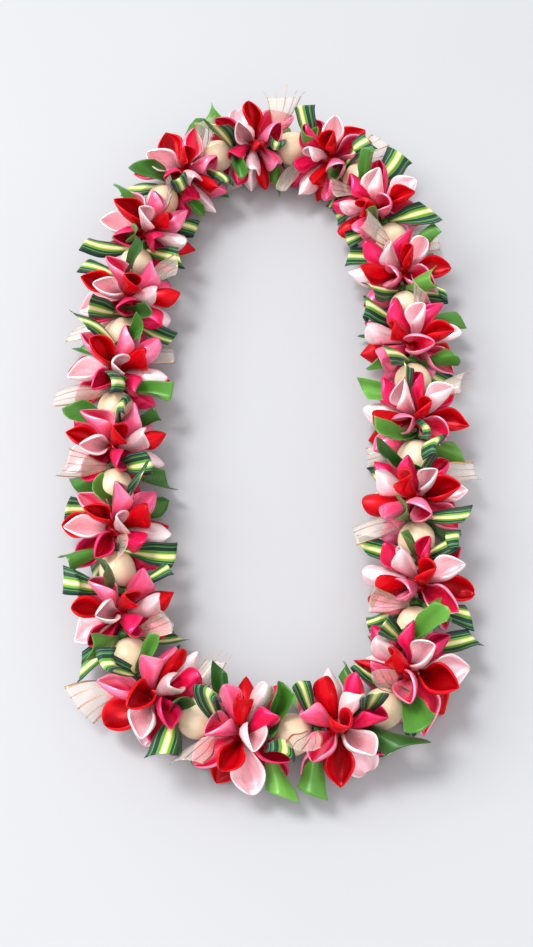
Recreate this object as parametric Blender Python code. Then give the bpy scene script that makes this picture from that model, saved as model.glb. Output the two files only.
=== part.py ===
"""A flower lei of folded satin ribbon, lying closed on a table.

Nineteen equal stretches follow each other round one inner cord. Each stretch is a bloom of four
rings of folded petals, then a drilled nut held between two knots of leaf ribbon. Every piece is
drawn along a straight strand first: X runs along the cord, Y points out of the loop and Z up,
measured from the cord's centre. lay_round then bends the strand round the loop and rests it on
the table, so pieces that are clear of each other when straight stay clear.
"""

import math
import random

import bmesh
import bpy
import numpy as np
from mathutils import Matrix, Vector

MM = 0.001

# The loop, seen from above: points that its centre line runs through, before it is scaled to the
# length of its stretches. It is rounder at the far end, +Y, and squarer at the near end.
STRETCHES = 19
PITCH = 60.0 * MM
LOOP_POINTS = [
    (-16, -182), (42, -179), (84, -157), (97, -108), (101, -40), (104, 40), (103, 125),
    (92, 205), (62, 262), (0, 286), (-62, 262), (-92, 205), (-106, 125), (-109, 40),
    (-104, -40), (-97, -105), (-76, -155),
]
CORD_HEIGHT = 24.0 * MM

# The cord and the holes that it runs through
CORD_RADIUS = 1.2 * MM
CORD_HOLE_RADIUS = 2.0 * MM
CLEARANCE = 0.3 * MM

# The bloom
SIDES = 5
CELL = math.tau / SIDES
BLOOM_TURN = 2 * math.tau / STRETCHES
CORE_HALF = 11.2 * MM
# Each level of the core: share of its half length, then radius
CORE_LEVELS = [(-1, 5.0), (-0.58, 7.5), (-0.2, 8.5), (0.2, 8.5), (0.58, 7.5), (1, 5.0)]
RING_TILTS = [-39.0, -11.0, 11.0, 39.0]
PETAL_REACH = 34.0 * MM
PETAL_WIDTH = 18.8 * MM
# Each cross-section: share of the reach, of half the width, then rim, groove and keel heights
PETAL_SECTIONS = [(0.50, 0.60, 1.4, 0.2, 3.7), (0.75, 1.00, 2.8, 0.2, 4.0)]
TIP_RECURVE = 2.2 * MM
TIP_PRESS = 1.8 * MM
# How far a petal may stray, in degrees, and as a share of its reach and width
PETAL_STRAY = {"tilt": 3, "turn": 3, "roll": 9}
PETAL_REACHES = (0.93, 1.04)
PETAL_WIDTHS = (0.92, 1.06)

# The nut, which the leaf ribbons' sleeve runs through
NUT_HALF = 12.7 * MM
NUT_HOLE_RADIUS = 3.55 * MM
# The outside of the nut: share of its half length, then radius
NUT_PROFILE = [(-0.83, 8.2), (-0.36, 12.6), (0.36, 12.6), (0.83, 8.2)]
NUT_SIDES = 8
NUT_SWELL = 0.06
NUT_TURN = 0.7

# The leaf ribbons. The lean is how far along the strand an end stands from its knot.
KNOT_RADII = (4.4, 5.3, 4.4)
SLEEVE_RADIUS = 2.9 * MM
LEAF_REACH = 38.5 * MM
LEAF_LENGTHS = (0.86, 1.07)
LEAF_LEANS = (5.5, 8.0)
LEAF_NECK = {"distance": 15.0 * MM, "width": 10.5 * MM, "lean": 0.42, "twist": 0.15}
LEAF_END_WIDTH = 16.0 * MM
LEAF_THICKNESS = 1.3 * MM
LEAF_CUT = 9.0 * MM
LEAF_CUTS = (0.6, 1.0)
LEAF_SWAY = 3
# The leaves stand this far behind the petals that point the same way, on their keels' side
LEAF_SHIFT = math.radians(9)
LEAF_TWISTS = (14, 34)
LEAF_LIFT = 3.0 * MM

SATINS = {
    "mid_pink": (0.90, 0.16, 0.30),
    "red": (0.60, 0.01, 0.02),
    "pale_pink": (0.90, 0.62, 0.64),
    "hot_pink": (0.80, 0.02, 0.16),
}
LEAF_RIBBONS = {
    "green": (0.12, 0.42, 0.07),
    "striped": (0.05, 0.20, 0.09),
    "sheer": (0.70, 0.62, 0.55),
}
RING_SATINS = ["mid_pink", "red", "pale_pink", "hot_pink"]
LEAF_ORDER = ["green", "striped", "green", "sheer", "striped"]


def smooth_loop(points, steps=40):
    """A closed Catmull-Rom curve through the points, as dense rows of X and Y."""
    given = np.array(points, float) * MM
    before, after = np.roll(given, 1, 0), np.roll(given, -1, 0)
    beyond = np.roll(given, -2, 0)
    t = np.linspace(0, 1, steps, endpoint=False)[:, None, None]
    curve = 0.5 * (
        2 * given
        + (after - before) * t
        + (2 * before - 5 * given + 4 * after - beyond) * t**2
        + (3 * given - before - 3 * after + beyond) * t**3
    )
    return curve.transpose(1, 0, 2).reshape(-1, 2)


def even_loop(count=2000):
    """The loop's centre line at equal steps of its length, scaled to hold the stretches."""
    dense = smooth_loop(LOOP_POINTS)
    closed = np.vstack([dense, dense[:1]])
    run = np.concatenate([[0], np.cumsum(np.linalg.norm(np.diff(closed, axis=0), axis=1))])
    closed = closed * (STRETCHES * PITCH / run[-1])
    run = run * (STRETCHES * PITCH / run[-1])
    at = np.linspace(0, run[-1], count, endpoint=False)
    x, y = np.interp(at, run, closed[:, 0]), np.interp(at, run, closed[:, 1])
    middle_x, middle_y = (x.min() + x.max()) / 2, (y.min() + y.max()) / 2
    return np.stack([x - middle_x, y - middle_y], axis=1)


LOOP = even_loop()


def on_loop(along):
    """The loop's point and unit direction at a distance along it."""
    share = along / (STRETCHES * PITCH) * len(LOOP)
    low = math.floor(share)
    here, there = Vector(LOOP[low % len(LOOP)]), Vector(LOOP[(low + 1) % len(LOOP)])
    before, after = Vector(LOOP[(low - 8) % len(LOOP)]), Vector(LOOP[(low + 9) % len(LOOP)])
    return here.lerp(there, share - low), (after - before).normalized()


def lay_round(point):
    """A point of the straight strand, bent round the loop and kept on or above the table."""
    place, along = on_loop(point.x)
    outward = Vector((along.y, -along.x))
    place = place + outward * point.y
    return Vector((place.x, place.y, max(point.z + CORD_HEIGHT, 0.0)))


def around(along, radius, angle):
    return Vector((along, radius * math.cos(angle), radius * math.sin(angle)))


def ring_of_verts(bm, along, radius, start):
    return [bm.verts.new(around(along, radius, start + CELL * i)) for i in range(SIDES)]


def bridge(bm, lower, upper):
    """A band of quads between two rings that stand at the same angles."""
    for i in range(SIDES):
        bm.faces.new((lower[i - 1], lower[i], upper[i], upper[i - 1]))


def zigzag(bm, lower, upper):
    """A band of triangles between two rings, with the upper half a cell ahead of the lower."""
    for i in range(SIDES):
        bm.faces.new((lower[i], lower[(i + 1) % SIDES], upper[i]))
        bm.faces.new((lower[i], upper[i], upper[i - 1]))


def diamond_lattice(bm, levels, start):
    """Levels of verts, each half a cell on from the last. Returns the levels and the diamonds.

    Each diamond is a face of its lower, right, upper and left vert, kept with its ring and angle.
    The notches at both ends are closed with triangles."""
    rings = [
        ring_of_verts(bm, along, radius, start + CELL / 2 * (i % 2))
        for i, (along, radius) in enumerate(levels)
    ]
    diamonds = []
    for ring in range(len(levels) - 2):
        for i in range(SIDES):
            right = (i + ring % 2) % SIDES
            left = (right - 1) % SIDES
            corners = (rings[ring][i], rings[ring + 1][right], rings[ring + 2][i], rings[ring + 1][left])
            angle = start + CELL * i + CELL / 2 * (ring % 2)
            diamonds.append((ring, i, angle, bm.faces.new(corners)))
    for outer, inner in ((0, 1), (len(levels) - 1, len(levels) - 2)):
        for i in range(SIDES):
            middle = rings[inner][(i + outer % 2) % SIDES]
            bm.faces.new((rings[outer][i], rings[outer][(i + 1) % SIDES], middle))
    return rings, diamonds


def grow(bm, root, sections, edges, tip=None):
    """Carries a root face through sections of four points each, to a point or a flat end.

    edges are the two corners of a section that are the blade's edges. Each band is split into
    triangles from them, alike on both sides, so a thin twisted blade never crosses itself."""
    lower = list(root.verts)
    bmesh.ops.delete(bm, geom=[root], context="FACES_ONLY")
    for section in sections:
        upper = [bm.verts.new(place) for place in section]
        for edge in edges:
            for side in ((edge + 1) % 4, (edge + 3) % 4):
                bm.faces.new((lower[edge], lower[side], upper[side]))
                bm.faces.new((lower[edge], upper[side], upper[edge]))
        lower = upper
    if tip is None:
        for edge in edges:
            bm.faces.new((lower[edge], lower[(edge + 1) % 4], lower[(edge + 3) % 4]))
        return
    point = bm.verts.new(tip)
    for i in range(4):
        bm.faces.new((lower[i], lower[(i + 1) % 4], point))


def petal_draw(stretch, ring, index):
    """How one petal differs from the rest: tilt, turn, roll, reach and width."""
    draw = random.Random(1000 * stretch + 10 * ring + index)
    stray = {name: math.radians(draw.uniform(-most, most)) for name, most in PETAL_STRAY.items()}
    stray["tilt"] += math.radians(RING_TILTS[ring])
    stray["reach"] = PETAL_REACH * draw.uniform(*PETAL_REACHES)
    stray["width"] = PETAL_WIDTH * draw.uniform(*PETAL_WIDTHS)
    return stray


def petal_axes(angle, tilt, roll):
    """The petal's own directions: along it, across it and out of its groove.

    It is wide along the strand, and its groove faces round the cord: up on the loop's outer side."""
    radial = Vector((0, math.cos(angle), math.sin(angle)))
    around_cord = Vector((0, -math.sin(angle), math.cos(angle)))
    along = Vector((math.sin(tilt), 0, 0)) + radial * math.cos(tilt)
    across = Vector((math.cos(tilt), 0, 0)) - radial * math.sin(tilt)
    turned = Matrix.Rotation(roll, 3, along)
    return along, turned @ across, turned @ around_cord


def tip_reach(reach, down):
    """The tip of a petal that points down is pressed on the table, so it ends just below it."""
    return min(reach, (CORD_HEIGHT + TIP_PRESS) / down) if down > 0 else reach


def grow_petal(bm, root, centre, stretch, ring, index, angle):
    """One folded petal: a boat with raised rims, a groove and a keel, ending in a point."""
    drawn = petal_draw(stretch, ring, index)
    along, across, upper = petal_axes(angle + drawn["turn"], drawn["tilt"], drawn["roll"])
    sections = []
    for share, wide, rim, groove, keel in PETAL_SECTIONS:
        middle = centre + along * drawn["reach"] * share - upper * TIP_RECURVE * share**3
        half = across * drawn["width"] / 2 * wide
        low, high = middle - half + upper * rim * MM, middle + half + upper * rim * MM
        inner, outer = middle + upper * groove * MM, middle - upper * keel * MM
        sections.append((low, inner, high, outer))
    tip = centre + along * tip_reach(drawn["reach"], -along.z) - upper * TIP_RECURVE
    grow(bm, root, sections, (0, 2), tip)


def finish(bm, name, stretch_along, satins):
    """Bends the mesh round the loop and makes it an object that stands where its piece does."""
    for vert in bm.verts:
        vert.co = lay_round(vert.co)
    place, along = on_loop(stretch_along)
    turn = math.atan2(along.y, along.x)
    frame = Matrix.Translation((place.x, place.y, CORD_HEIGHT)) @ Matrix.Rotation(turn, 4, "Z")
    bm.transform(frame.inverted())
    bmesh.ops.triangulate(bm, faces=bm.faces, quad_method="SHORT_EDGE")
    bmesh.ops.recalc_face_normals(bm, faces=bm.faces)
    mesh = bpy.data.meshes.new(name)
    bm.to_mesh(mesh)
    bm.free()
    piece = bpy.data.objects.new(name, mesh)
    piece.matrix_world = frame
    for satin in satins:
        mesh.materials.append(satin)
    bpy.context.scene.collection.objects.link(piece)
    return piece


def colour_faces(bm, known, index):
    """Gives every face made since known was taken the material of that index."""
    for face in bm.faces:
        if face not in known:
            face.material_index = index


def ribbon_material(name, colour, roughness=0.35):
    material = bpy.data.materials.new(name)
    material.use_nodes = True
    shader = material.node_tree.nodes["Principled BSDF"]
    shader.inputs["Base Color"].default_value = (*colour, 1)
    shader.inputs["Roughness"].default_value = roughness
    shader.inputs["Metallic"].default_value = 0
    return material


def cord_hole(bm, stations, start):
    """The wall of the cord's hole through the stations. Returns its first and last ring."""
    rings = [ring_of_verts(bm, along, CORD_HOLE_RADIUS, start) for along in stations]
    for lower, upper in zip(rings, rings[1:]):
        bridge(bm, upper, lower)
    return rings[0], rings[-1]


def make_bloom(stretch, satins):
    """Four rings of five petals on a pierced core, each ring half a cell on from the last."""
    bm = bmesh.new()
    middle = stretch * PITCH
    start = stretch * BLOOM_TURN
    levels = [(middle + share * CORE_HALF, radius * MM) for share, radius in CORE_LEVELS]
    rings, diamonds = diamond_lattice(bm, levels, start)
    first, last = cord_hole(bm, (middle - CORE_HALF, middle, middle + CORE_HALF), start)
    bridge(bm, first, rings[0])
    zigzag(bm, last, rings[-1])
    for ring, index, angle, root in diamonds:
        known = set(bm.faces)
        grow_petal(bm, root, Vector((middle, 0, 0)), stretch, ring, index, angle)
        colour_faces(bm, known, ring)
    return finish(bm, f"bloom_{stretch + 1:02d}", middle, [satins[n] for n in RING_SATINS])


def make_nut(stretch, shell):
    """A smooth nut with its drilled hole, turned round the cord from one profile."""
    bm = bmesh.new()
    middle = (stretch + 0.5) * PITCH
    hole = [(-NUT_HALF, NUT_HOLE_RADIUS), (NUT_HALF, NUT_HOLE_RADIUS), (0, NUT_HOLE_RADIUS)]
    outside = [(share * NUT_HALF, radius * MM) for share, radius in NUT_PROFILE]
    loop = [bm.verts.new((along, radius, 0)) for along, radius in hole[:1] + outside + hole[1:]]
    edges = [bm.edges.new((a, b)) for a, b in zip(loop, loop[1:] + loop[:1])]
    bmesh.ops.spin(
        bm, geom=loop + edges, axis=(1, 0, 0), cent=(0, 0, 0), angle=math.tau,
        steps=NUT_SIDES, use_merge=True,
    )
    bmesh.ops.remove_doubles(bm, verts=bm.verts, dist=0.01 * MM)
    for vert in bm.verts:
        radius = math.hypot(vert.co.y, vert.co.z)
        angle = math.atan2(vert.co.z, vert.co.y) + stretch * NUT_TURN
        swell = 1 + NUT_SWELL * (1 - NUT_HOLE_RADIUS / radius) * math.cos(2 * angle)
        vert.co = (vert.co.x + middle, vert.co.y * swell, vert.co.z * swell)
    return finish(bm, f"nut_{stretch + 1:02d}", middle, [shell])


def leaf_draw(stretch, side, index):
    """How one leaf differs from the rest: lean, twist, reach, and which edge is cut longer."""
    draw = random.Random(1000 * stretch + 500 + 10 * side + index)
    return {
        "lean": draw.uniform(*LEAF_LEANS) * MM,
        "sway": math.radians(draw.uniform(-LEAF_SWAY, LEAF_SWAY)),
        "twist": math.radians(draw.choice((-1, 1)) * draw.uniform(*LEAF_TWISTS)),
        "reach": LEAF_REACH * draw.uniform(*LEAF_LENGTHS),
        "cut": LEAF_CUT * draw.choice((-1, 1)) * draw.uniform(*LEAF_CUTS),
    }


def leaf_reach(wanted, angle):
    """A leaf that points down ends where it meets the table."""
    down = -math.sin(angle)
    return min(wanted, (CORD_HEIGHT - LEAF_LIFT) / down) if down > 0 else wanted


def grow_leaf(bm, root, knot, side, stretch, index, angle):
    """One ribbon end: pinched at the knot, flaring outward, cut across at a slant."""
    drawn = leaf_draw(stretch, side, index)
    inward = 1 if side == 0 else -1
    reach = leaf_reach(drawn["reach"], angle + drawn["sway"])
    neck = LEAF_NECK
    grown = min(1, (reach - neck["distance"]) / (LEAF_REACH - neck["distance"]))
    lean, twist = (neck[name] + (1 - neck[name]) * grown for name in ("lean", "twist"))
    width = neck["width"] + (LEAF_END_WIDTH - neck["width"]) * grown
    steps = [
        (neck["distance"], neck["lean"], neck["width"], 0, neck["twist"], 0),
        (reach, lean, width, 1, twist, drawn["cut"] * grown),
    ]
    sections = []
    for distance, lean, width, sway, twist, slant in steps:
        turn = angle + drawn["sway"] * sway
        radial = Vector((0, math.cos(turn), math.sin(turn)))
        sideways = Vector((0, -math.sin(turn), math.cos(turn)))
        middle = Vector((knot + inward * drawn["lean"] * lean, 0, 0)) + radial * distance
        spin = drawn["twist"] * twist
        across = Vector((math.cos(spin), 0, 0)) + sideways * math.sin(spin)
        facing = sideways * math.cos(spin) - Vector((math.sin(spin), 0, 0))
        half, thick = across * width / 2 * inward, facing * LEAF_THICKNESS / 2
        slanted = radial * slant / 2
        sections.append((middle - half - slanted, middle + thick, middle + half + slanted, middle - thick))
    grow(bm, root, sections, (0, 2))


def make_leaves(stretch, ribbons):
    """Two knots joined by the sleeve that runs through the nut, each with five ribbon ends."""
    bm = bmesh.new()
    start = stretch * BLOOM_TURN + (BLOOM_TURN - CELL / 2) / 2
    begin = stretch * PITCH
    outer_face = CORE_HALF + CLEARANCE
    inner_face = PITCH / 2 - NUT_HALF - CLEARANCE
    knot = (outer_face + inner_face) / 2
    places = [outer_face, knot, inner_face]
    stations = places[::2] + [PITCH / 2] + [PITCH - p for p in places[::-2]]
    first, last = cord_hole(bm, [begin + s for s in stations], start)
    sleeve = [ring_of_verts(bm, begin + s, SLEEVE_RADIUS, start) for s in stations[1:-1]]
    for lower, upper in zip(sleeve, sleeve[1:]):
        bridge(bm, lower, upper)
    for side, ends in enumerate(((first, sleeve[0]), (last, sleeve[-1]))):
        at = [p if side == 0 else PITCH - p for p in places]
        levels = [(begin + s, r * MM) for s, r in zip(at, KNOT_RADII)]
        rings, diamonds = diamond_lattice(bm, levels, start)
        bridge(bm, ends[0], rings[0])
        bridge(bm, rings[-1], ends[1])
        for _, index, angle, root in diamonds:
            known = set(bm.faces)
            grow_leaf(bm, root, begin + at[1], side, stretch, index, angle - LEAF_SHIFT)
            kind = LEAF_ORDER[(index + 2 * side) % SIDES]
            colour_faces(bm, known, list(LEAF_RIBBONS).index(kind))
    return finish(bm, f"leaves_{stretch + 1:02d}", (stretch + 0.5) * PITCH, list(ribbons.values()))


def make_cord(material):
    """The closed inner cord, a bevelled curve through the same stations as the holes."""
    per_stretch = [0, CORE_HALF, PITCH / 2 - NUT_HALF, PITCH / 2, PITCH / 2 + NUT_HALF, PITCH - CORE_HALF]
    curve = bpy.data.curves.new("cord", "CURVE")
    curve.dimensions = "3D"
    curve.bevel_depth = CORD_RADIUS
    curve.bevel_resolution = 1
    spline = curve.splines.new("POLY")
    places = [stretch * PITCH + s for stretch in range(STRETCHES) for s in per_stretch]
    spline.points.add(len(places) - 1)
    for point, along in zip(spline.points, places):
        point.co = (*lay_round(Vector((along, 0, 0))), 1)
    spline.use_cyclic_u = True
    curve.materials.append(material)
    cord = bpy.data.objects.new("cord", curve)
    bpy.context.scene.collection.objects.link(cord)
    return cord


def centre(lei, pieces):
    """Moves the whole lei so that its box stands centred on the origin."""
    bpy.context.view_layer.update()
    meshes = [piece for piece in pieces if piece.type == "MESH"]
    points = np.array([piece.matrix_world @ vert.co for piece in meshes for vert in piece.data.vertices])
    middle = (points.min(axis=0) + points.max(axis=0)) / 2
    lei.location = (-middle[0], -middle[1], 0)


def main():
    for old in list(bpy.data.objects):
        bpy.data.objects.remove(old)
    satins = {name: ribbon_material(name, colour) for name, colour in SATINS.items()}
    ribbons = {name: ribbon_material(name, colour, 0.45) for name, colour in LEAF_RIBBONS.items()}
    shell = ribbon_material("nut_shell", (0.86, 0.78, 0.62), 0.3)
    lei = bpy.data.objects.new("lei", None)
    bpy.context.scene.collection.objects.link(lei)
    pieces = [make_cord(ribbon_material("cord", (0.75, 0.70, 0.60), 0.7))]
    for stretch in range(STRETCHES):
        pieces.append(make_bloom(stretch, satins))
        pieces.append(make_nut(stretch, shell))
        pieces.append(make_leaves(stretch, ribbons))
    for piece in pieces:
        piece.parent = lei
    centre(lei, pieces)


main()
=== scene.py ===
import math
import random

import bmesh
import bpy
import numpy as np
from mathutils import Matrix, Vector
from mathutils.bvhtree import BVHTree


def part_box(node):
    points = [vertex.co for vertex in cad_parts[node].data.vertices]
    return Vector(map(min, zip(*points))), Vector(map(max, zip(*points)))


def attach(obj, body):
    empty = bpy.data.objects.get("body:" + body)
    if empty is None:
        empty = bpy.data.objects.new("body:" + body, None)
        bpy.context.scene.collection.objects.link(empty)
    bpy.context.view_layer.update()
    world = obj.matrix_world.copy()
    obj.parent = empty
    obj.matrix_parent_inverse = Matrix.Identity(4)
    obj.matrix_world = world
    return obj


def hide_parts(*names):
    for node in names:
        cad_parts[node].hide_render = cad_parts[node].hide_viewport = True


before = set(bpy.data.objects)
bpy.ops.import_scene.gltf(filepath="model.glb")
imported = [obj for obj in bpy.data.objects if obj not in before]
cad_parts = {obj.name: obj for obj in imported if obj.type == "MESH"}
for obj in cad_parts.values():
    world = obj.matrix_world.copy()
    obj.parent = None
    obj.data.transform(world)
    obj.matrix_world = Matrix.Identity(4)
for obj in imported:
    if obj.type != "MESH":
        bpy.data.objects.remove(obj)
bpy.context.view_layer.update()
mm = 0.001  # lengths are in metres

# The lei is a closed strand. Everything on it is first drawn along a straight strand, where x runs
# along the cord, y points out of the loop and z up, and is then laid round the loop on the table.
lei = {
    "stretches": 19,
    "pitch": 60 * mm,
    "cordHeight": 24 * mm,
    "softFloor": 3 * mm,  # lower than this, a ribbon bends along the table
    "turn": 2 * math.tau / 19,  # each bloom is turned this much further round the cord
    "sides": 5,  # petals in a ring, and ribbon ends on a knot
    # the loop from above, in mm, before it is scaled to the strand's length
    "outline": [
        (-16, -182), (42, -179), (84, -157), (97, -108), (101, -40), (104, 40), (103, 125),
        (92, 205), (62, 262), (0, 286), (-62, 262), (-92, 205), (-106, 125), (-109, 40),
        (-104, -40), (-97, -105), (-76, -155),
    ],
    "headingSpan": (-8, 9),  # steps of the loop's line that its direction is taken over
    "cordStations": [0, 11.2 * mm, 17.3 * mm, 30 * mm, 42.7 * mm, 48.8 * mm],
}
stretches, pitch, cell = lei["stretches"], lei["pitch"], math.tau / lei["sides"]
loopLength = stretches * pitch


def evenLoop(count=2000, steps=40):
    # a closed Catmull-Rom curve through the outline, scaled to the strand's length, at equal steps
    here = np.array(lei["outline"], float) * mm
    before, after, beyond = np.roll(here, 1, 0), np.roll(here, -1, 0), np.roll(here, -2, 0)
    t = np.linspace(0, 1, steps, endpoint=False)[:, None, None]
    curve = 0.5 * (
        2 * here + (after - before) * t + (2 * before - 5 * here + 4 * after - beyond) * t**2
        + (3 * here - before - 3 * after + beyond) * t**3
    )
    dense = curve.transpose(1, 0, 2).reshape(-1, 2)
    closed = np.vstack([dense, dense[:1]])
    run = np.concatenate([[0], np.cumsum(np.linalg.norm(np.diff(closed, axis=0), axis=1))])
    scale = loopLength / run[-1]
    at = np.linspace(0, loopLength, count, endpoint=False)
    line = np.stack([np.interp(at, run * scale, closed[:, i] * scale) for i in (0, 1)], axis=1)
    return line - (line.min(0) + line.max(0)) / 2


loopLine = evenLoop()


def onLoop(along):
    # the loop's points and unit directions at distances along it
    share = along / loopLength * len(loopLine)
    low = np.floor(share).astype(int)
    pick = lambda step: loopLine[(low + step) % len(loopLine)]
    place = pick(0) + (pick(1) - pick(0)) * (share - low)[:, None]
    behind, before = lei["headingSpan"]
    ahead = pick(before) - pick(behind)
    return place, ahead / np.linalg.norm(ahead, axis=1, keepdims=True)


def layRound(points, shift=(0, 0)):
    # strand to table: the loop's point, plus y along its outward normal; below the soft floor the
    # height falls off as an exponential, so a ribbon presses flat and never goes through the table
    place, ahead = onLoop(points[:, 0])
    outward = np.stack([ahead[:, 1], -ahead[:, 0]], axis=1)
    flat = place + outward * points[:, 1:2] + np.array(shift)
    height, soft = points[:, 2] + lei["cordHeight"], lei["softFloor"]
    height = np.where(height < soft, soft * np.exp((np.minimum(height, soft) - soft) / soft), height)
    return np.column_stack([flat, height])


stations = np.array([s * pitch + x for s in range(stretches) for x in lei["cordStations"]])
cordLine = layRound(np.column_stack([stations, stations * 0, stations * 0]))
cordLow, cordHigh = (np.array(corner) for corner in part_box("cord"))
leiShift = ((cordLow + cordHigh) / 2 - (cordLine.min(0) + cordLine.max(0)) / 2)[:2]
print("loop laid out, shifted by", np.round(leiShift / mm, 2), "mm")


# Meshes


def newObject(name, data):
    made = bpy.data.objects.new(name, data)
    bpy.context.scene.collection.objects.link(made)
    return made


def shellFaces(rows, cols):
    # a closed shell of two grids of points, outer and then inner, joined along all four edges
    grid = np.arange(2 * rows * cols).reshape(2, rows, cols)
    quads = lambda a, b: np.stack([a[:-1], a[1:], b[1:], b[:-1]], axis=-1).reshape(-1, 4)
    outer, inner = grid
    sheets = [np.concatenate([quads(g[r], g[r + 1]) for r in range(rows - 1)]) for g in (outer, inner)]
    return np.concatenate([
        sheets[0], sheets[1][:, ::-1],
        quads(inner[0], outer[0]), quads(outer[-1], inner[-1]),
        quads(outer[:, 0], inner[:, 0]), quads(inner[:, -1], outer[:, -1]),
    ])


def ringFaces(rows, cols):
    # a closed ring of closed sections, so both ways round the grid join up
    grid = np.arange(rows * cols).reshape(rows, cols)
    right, up = np.roll(grid, -1, 1), np.roll(grid, -1, 0)
    return np.stack([grid, right, np.roll(right, -1, 0), up], axis=-1).reshape(-1, 4)


fineSteps = 50
fine = np.linspace(-1, 1, 2 * fineSteps + 1)  # across a ribbon, from rim to rim


def foldSection(v, half, bend, crease, keel, wall, rim=0.0):
    # rows of sections across a folded ribbon: the slope grows from the middle as the bend times |v|
    # to the power of the crease, so 1 gives an arc and less gives a V; its running sums are the
    # places, scaled to the half width. Returned are (sideways, height) of the outer face and of the
    # inner one, which stands off by the wall, and at the rims by the wall times 1 + rim
    slope = np.sign(fine) * bend * np.abs(fine) ** crease
    run = lambda values: np.cumsum((values[:, 1:] + values[:, :-1]) / 2, axis=1)
    places = [np.hstack([0 * slope[:, :1], run(f(slope))]) for f in (np.cos, np.sin)]
    pick = np.rint((np.asarray(v) + 1) * fineSteps).astype(int)
    sideways, height = (p - p[:, fineSteps:fineSteps + 1] for p in places)
    scale = half / np.abs(sideways).max(1, keepdims=True)
    sideways, height, slope = sideways[:, pick] * scale, height[:, pick] * scale + keel, slope[:, pick]
    faces = []
    for stand in (-0.5 * wall, wall * (0.5 + rim * np.asarray(v) ** 2)):
        faces.append((sideways - np.sin(slope) * stand, height + np.cos(slope) * stand))
    return faces


def facingOut(points, faces):
    # a closed shell whose signed volume is negative has its faces turned round
    a, b, c, d = (points[faces[:, i]] for i in range(4))
    volume = (np.cross(a, b) * c).sum() + (np.cross(a, c) * d).sum()
    return faces if volume > 0 else faces[:, ::-1]


def eachPoint(shells, key, missing):
    # one value of this key for every point of the shells
    values = [np.broadcast_to(shell.get(key, missing), len(shell["points"])) for shell in shells]
    return np.concatenate(values)


def makePiece(name, shells, material, node):
    # shells are dictionaries of points in the strand, faces, uv, tone, inside and cut; edges between
    # two points that are marked as cut stay crisp when the piece is smoothed
    points, faces, count = [], [], 0
    for shell in shells:
        laid = layRound(shell["points"], leiShift)
        points.append(laid)
        faces.append(facingOut(laid, shell["faces"]) + count)
        count += len(laid)
    points, faces = np.concatenate(points), np.concatenate(faces)
    mesh = bpy.data.meshes.new(name)
    mesh.from_pydata(points.tolist(), [], faces.tolist())
    mesh.shade_smooth()
    uv = np.concatenate([shell["uv"] for shell in shells])
    mesh.uv_layers.new(name="ribbon").uv.foreach_set("vector", uv[faces.ravel()].ravel())
    for key in ("tone", "inside"):
        values = eachPoint(shells, key, 0.0)
        mesh.attributes.new(key, "FLOAT", "POINT").data.foreach_set("value", values)
    mesh.materials.append(material)
    ends = np.empty(len(mesh.edges) * 2, int)
    mesh.edges.foreach_get("vertices", ends)
    crisp = eachPoint(shells, "cut", False)[ends.reshape(-1, 2)].all(axis=1) * 1.0
    mesh.attributes.new("crease_edge", "FLOAT", "EDGE").data.foreach_set("value", crisp)
    bm = bmesh.new()
    bm.from_mesh(mesh)
    bmesh.ops.remove_doubles(bm, verts=bm.verts, dist=0.002 * mm)  # closes the pointed tips
    bm.to_mesh(mesh)
    bm.free()
    piece = newObject(name, mesh)
    smooth = piece.modifiers.new("smooth", "SUBSURF")
    smooth.levels = smooth.render_levels = 1
    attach(piece, "root")
    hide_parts(node)


def crossingTree(shell, rows, cols, first, shift=0.0):
    # the shell from the first row that counts, ready to be tested against others
    row = shell["faces"] % (rows * cols) // cols
    kept = shell["faces"][(row >= first).all(axis=1)]
    return BVHTree.FromPolygons((shell["points"] + [shift, 0, 0]).tolist(), kept.tolist())


def leastCrossed(drawShell, rows, cols, first, trees, tries):
    # a ribbon that would cut through the ones already placed is drawn again; the best draw is kept
    best = None
    for attempt in range(tries):
        shell = drawShell(attempt)
        tree = crossingTree(shell, rows, cols, first)
        crossed = sum(len(tree.overlap(other)) for other in trees)
        if best is None or crossed < best[0]:
            best = (crossed, shell, tree)
        if crossed == 0:
            break
    return best


def turnedShell(profile, middle, sides, dent=None):
    # a closed profile of (distance along the strand, radius) pairs carried once round the cord; the
    # dent is the share that the radius grows by at an angle and a distance
    angle = np.linspace(0, math.tau, sides, endpoint=False)[:, None]
    at, radius = np.array(profile, float).T[:, None, :]
    radius = radius * (1 + (dent(angle, at) if dent else 0 * angle))
    points = np.stack([middle + at + 0 * angle, radius * np.cos(angle), radius * np.sin(angle)], axis=-1)
    turned, lengthwise = np.linspace(0, 1, sides)[:, None], np.linspace(0, 1, len(profile))[None, :]
    return {
        "points": points.reshape(-1, 3),
        "faces": ringFaces(sides, len(profile)),
        "uv": np.stack(np.broadcast_arrays(turned, lengthwise), axis=-1).reshape(-1, 2),
    }


# Materials


def linear(red, green, blue):
    # a screen colour, 0 to 255, as the linear colour that the nodes take
    share = np.array([red, green, blue]) / 255
    return tuple(np.where(share > 0.04045, ((share + 0.055) / 1.055) ** 2.4, share / 12.92)) + (1.0,)


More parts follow.
